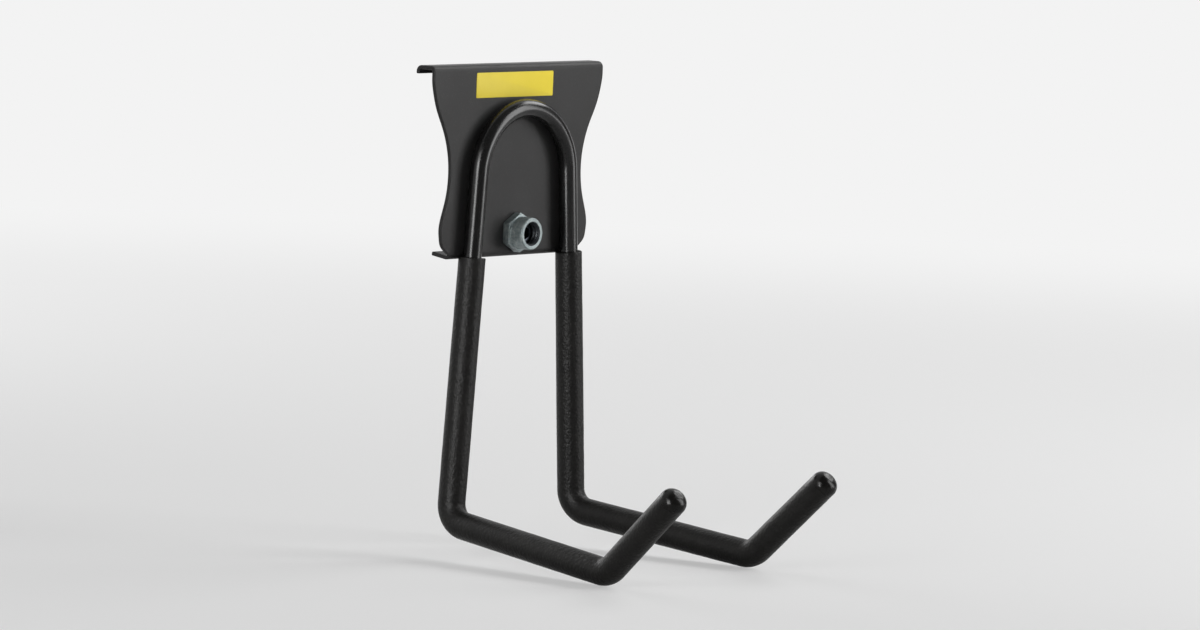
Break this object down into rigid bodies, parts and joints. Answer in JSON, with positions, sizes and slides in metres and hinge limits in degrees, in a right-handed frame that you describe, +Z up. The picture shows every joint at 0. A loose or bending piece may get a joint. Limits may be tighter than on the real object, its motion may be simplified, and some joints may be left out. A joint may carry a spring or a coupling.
{
  "type": "rail utility hook",
  "caption": "Double-arm utility hook for a flat wall rail: a waisted folded steel bracket with a bent rod hook in rubber sleeves, a collared nut and a locking screw.",
  "frame": {"origin": "the middle of the bracket's flat back face, which lies against the rail's front", "axes": "+Z is up, +Y points back into the wall, and the arms reach forward along -Y; +X is to the right for someone facing the wall"},
  "size_m": [0.1044, 0.1408, 0.1957],
  "materials": {
    "bracket_powder_coat": "satin black powder coat",
    "rod_black_paint": "semi-gloss black",
    "sleeve_rubber": "matt black, finely pebbled",
    "nut_zinc": "dull grey zinc plating",
    "screw_black_oxide": "dark blue-grey oxide",
    "label_yellow": "plain yellow film"
  },
  "bodies": {
    "hook": {"bracket_plate": "bracket_powder_coat", "hook_rod": "rod_black_paint", "left_coating": "sleeve_rubber", "right_coating": "sleeve_rubber", "weld_nut": "nut_zinc", "label": "label_yellow"},
    "lock_screw": {"lock_screw": "screw_black_oxide"}
  },
  "joints": [
    {"name": "lock_screw_travel", "type": "slide", "parent": "hook", "child": "lock_screw", "axis": [0, 1, 0], "range_m": [0, 0.003]}
  ]
}
